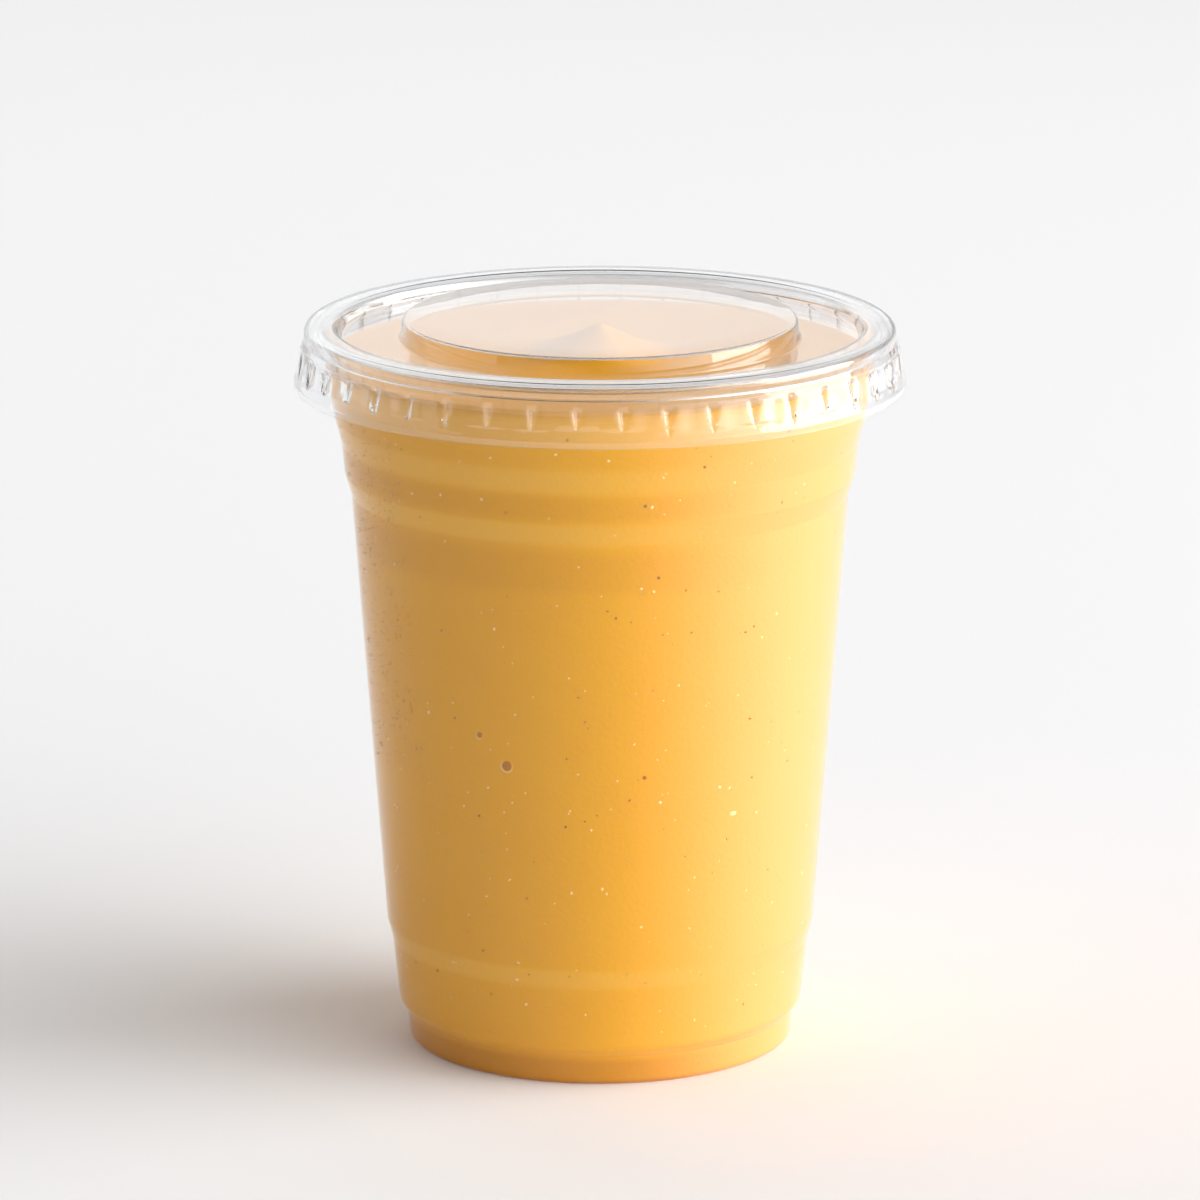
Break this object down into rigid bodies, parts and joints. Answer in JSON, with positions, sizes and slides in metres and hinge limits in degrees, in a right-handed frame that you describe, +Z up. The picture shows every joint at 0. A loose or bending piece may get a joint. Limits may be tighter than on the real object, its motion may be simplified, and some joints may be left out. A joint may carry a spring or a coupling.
{
  "type": "mango smoothie",
  "caption": "Thick mango smoothie filling a clear tapered take-away cup with stepped bands, under a flat clear lid with a raised disc and a crimped, flared skirt.",
  "frame": {"origin": "centre of the cup's foot, on the surface it stands on", "axes": "+Z up along the cup's axis; -Y is the front; +X is to the right seen from the front"},
  "size_m": [0.1, 0.1, 0.1213],
  "materials": {
    "clear_cup": "clear thermoformed PET, glossy",
    "mango_smoothie": "thick opaque fruit puree, wet, with fine bubbles and specks",
    "clear_lid": "clear thermoformed PET, glossy"
  },
  "bodies": {
    "root": {"cup": "clear_cup", "smoothie": "mango_smoothie", "lid": "clear_lid"}
  },
  "joints": []
}
